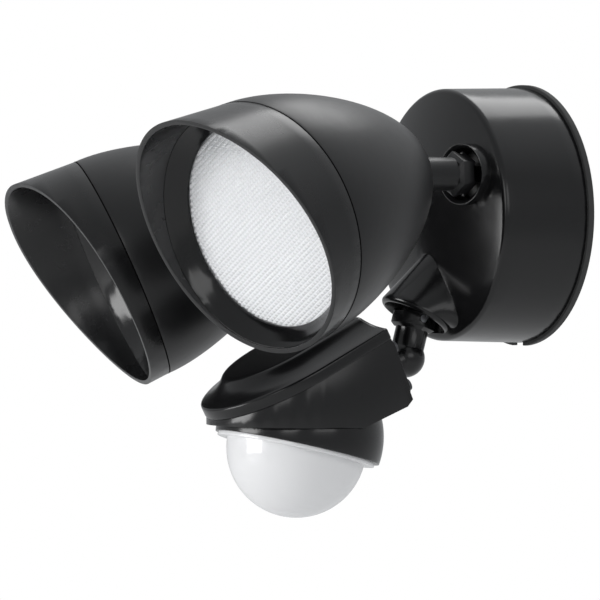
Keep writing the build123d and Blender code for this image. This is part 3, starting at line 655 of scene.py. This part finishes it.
# Soft lights: name, place, width and height in metres, and the setting that holds the power
SOFTBOXES = (
    ("key_above", (-0.5, 0.55, 1.15), 0.7, 0.7, "key_power"),
    ("front", (-0.27, -1.55, 0.05), 0.75, 0.6, "front_power"),
    ("near_camera", (1.02, -1.08, 0.35), 0.5, 0.5, "side_power"),
    ("side", (1.4, 0.02, 0.35), 0.8, 0.5, "side_power"),
)

# Brighter part of the room: way to it, cosines where it starts and is full, and its strength
SKY_WAY = Vector((-0.1, 0.4, 1.0)).normalized()
SKY_START, SKY_FULL = 0.5, 1.0
SKY_STRENGTH = 0.35
ROOM_COLOUR = (0.96, 0.98, 1.0, 1)


def softbox(name, place, width, height, power):
    """Rectangular area light that faces the object."""
    light = bpy.data.lights.new(name, "AREA")
    light.shape = "RECTANGLE"
    light.size = width
    light.size_y = height
    light.energy = power
    lamp = bpy.data.objects.new(name, light)
    lamp.location = place
    way = Vector(LIGHT_AIM) - Vector(place)
    lamp.rotation_euler = way.to_track_quat("-Z", "Y").to_euler()
    bpy.context.scene.collection.objects.link(lamp)


def seen_white(tree):
    """1 for the camera's rays and those that pass through clear pieces."""
    path = tree.nodes.new("ShaderNodeLightPath")
    most = tree.nodes.new("ShaderNodeMath")
    most.operation = "MAXIMUM"
    tree.links.new(path.outputs["Is Camera Ray"], most.inputs[0])
    tree.links.new(path.outputs["Is Transmission Ray"], most.inputs[1])
    return most.outputs[0]


def sky(tree):
    """Brightness that the room gains towards its brighter part."""
    along = tree.nodes.new("ShaderNodeVectorMath")
    along.operation = "DOT_PRODUCT"
    along.inputs[1].default_value = SKY_WAY
    way = tree.nodes.new("ShaderNodeTexCoord").outputs["Generated"]
    tree.links.new(way, along.inputs[0])
    fade = tree.nodes.new("ShaderNodeMapRange")
    fade.interpolation_type = "SMOOTHSTEP"
    fade.inputs["From Min"].default_value = SKY_START
    fade.inputs["From Max"].default_value = SKY_FULL
    fade.inputs["To Max"].default_value = SKY_STRENGTH
    tree.links.new(along.outputs["Value"], fade.inputs["Value"])
    return fade.outputs["Result"]


class LIGHT_OT_studio(bpy.types.Operator):
    """Makes the floor, the soft lights, the white surround and the camera"""

    bl_idname = "light.studio"
    bl_label = "Studio"

    def execute(self, context):
        scene = context.scene
        studio = scene.light_studio
        self.floor(scene, studio)
        self.surround(scene, studio)
        for name, place, width, height, power in SOFTBOXES:
            softbox(name, place, width, height, getattr(studio, power))
        self.camera(scene)
        scene.view_settings.view_transform = "Standard"
        return {"FINISHED"}

    def camera(self, scene):
        """Camera at the photograph's place and angle."""
        camera = bpy.data.cameras.new("camera")
        camera.lens = CAMERA_LENS
        camera.sensor_width = CAMERA_SENSOR
        camera.clip_start, camera.clip_end = CAMERA_CLIP
        eye = bpy.data.objects.new("camera", camera)
        right = Vector((0, 0, 1)).cross(CAMERA_BACK).normalized()
        up = CAMERA_BACK.cross(right)
        eye.matrix_world = Matrix((right, up, CAMERA_BACK)).transposed().to_4x4()
        eye.location = CAMERA_PLACE
        scene.collection.objects.link(eye)
        scene.camera = eye

    def floor(self, scene, studio):
        """Pale floor well below the light, white where it is only seen."""
        shape = bmesh.new()
        bmesh.ops.create_grid(shape, x_segments=1, y_segments=1, size=FLOOR_REACH)
        mesh = bpy.data.meshes.new("floor")
        shape.to_mesh(mesh)
        shape.free()
        floor = bpy.data.objects.new("floor", mesh)
        floor.location = (0, 0, -studio.floor_drop)
        scene.collection.objects.link(floor)
        finish, tree, shader = new_finish("pale_floor")
        shader.inputs["Base Color"].default_value = (*studio.floor, 1)
        shader.inputs["Roughness"].default_value = 0.9
        glow = tree.nodes.new("ShaderNodeEmission")
        glow.inputs["Color"].default_value = (1, 1, 1, 1)
        mix = tree.nodes.new("ShaderNodeMixShader")
        tree.links.new(seen_white(tree), mix.inputs["Fac"])
        tree.links.new(shader.outputs["BSDF"], mix.inputs[1])
        tree.links.new(glow.outputs["Emission"], mix.inputs[2])
        tree.links.new(mix.outputs["Shader"], tree.nodes["Material Output"].inputs["Surface"])
        mesh.materials.append(finish)

    def surround(self, scene, studio):
        """World: white to look at; as light it is even, with a brighter part above."""
        world = bpy.data.worlds.new("surround")
        scene.world = world
        world.use_nodes = True
        tree = world.node_tree
        tree.nodes.clear()
        level = tree.nodes.new("ShaderNodeMath")
        level.inputs[1].default_value = studio.room
        tree.links.new(sky(tree), level.inputs[0])
        light = tree.nodes.new("ShaderNodeBackground")
        light.inputs["Color"].default_value = ROOM_COLOUR
        tree.links.new(level.outputs[0], light.inputs["Strength"])
        seen = tree.nodes.new("ShaderNodeBackground")
        seen.inputs["Color"].default_value = (1, 1, 1, 1)
        mix = tree.nodes.new("ShaderNodeMixShader")
        out = tree.nodes.new("ShaderNodeOutputWorld")
        tree.links.new(seen_white(tree), mix.inputs["Fac"])
        tree.links.new(light.outputs["Background"], mix.inputs[1])
        tree.links.new(seen.outputs["Background"], mix.inputs[2])
        tree.links.new(mix.outputs["Shader"], out.inputs["Surface"])


class LIGHT_PT_panel(bpy.types.Panel):
    """Sidebar panel with the light's pieces and settings"""

    bl_label = "Security Light"
    bl_idname = "LIGHT_PT_panel"
    bl_space_type = "VIEW_3D"
    bl_region_type = "UI"
    bl_category = "Security Light"

    def draw(self, context):
        for name, settings in setting_groups.items():
            box = self.layout.box()
            for field in settings.__annotations__:
                box.prop(getattr(context.scene, name), field)
        for operator in operators:
            self.layout.operator(operator.bl_idname)


setting_groups = {
    "light_housing": HousingSettings,
    "light_lens": LensSettings,
    "light_sensor": SensorSettings,
    "light_studio": StudioSettings,
}
operators = (LIGHT_OT_base, LIGHT_OT_arms, LIGHT_OT_lamp_heads, LIGHT_OT_sensor, LIGHT_OT_studio)


def register():
    for settings in setting_groups.values():
        bpy.utils.register_class(settings)
    for name, settings in setting_groups.items():
        setattr(bpy.types.Scene, name, PointerProperty(type=settings))
    for operator in operators:
        bpy.utils.register_class(operator)
    bpy.utils.register_class(LIGHT_PT_panel)


def unregister():
    bpy.utils.unregister_class(LIGHT_PT_panel)
    for operator in reversed(operators):
        bpy.utils.unregister_class(operator)
    for name, settings in reversed(setting_groups.items()):
        delattr(bpy.types.Scene, name)
        bpy.utils.unregister_class(settings)


def main():
    register()
    bpy.ops.light.base()
    bpy.ops.light.arms()
    bpy.ops.light.lamp_heads()
    bpy.ops.light.sensor()
    bpy.ops.light.studio()


if __name__ == "__main__":
    main()
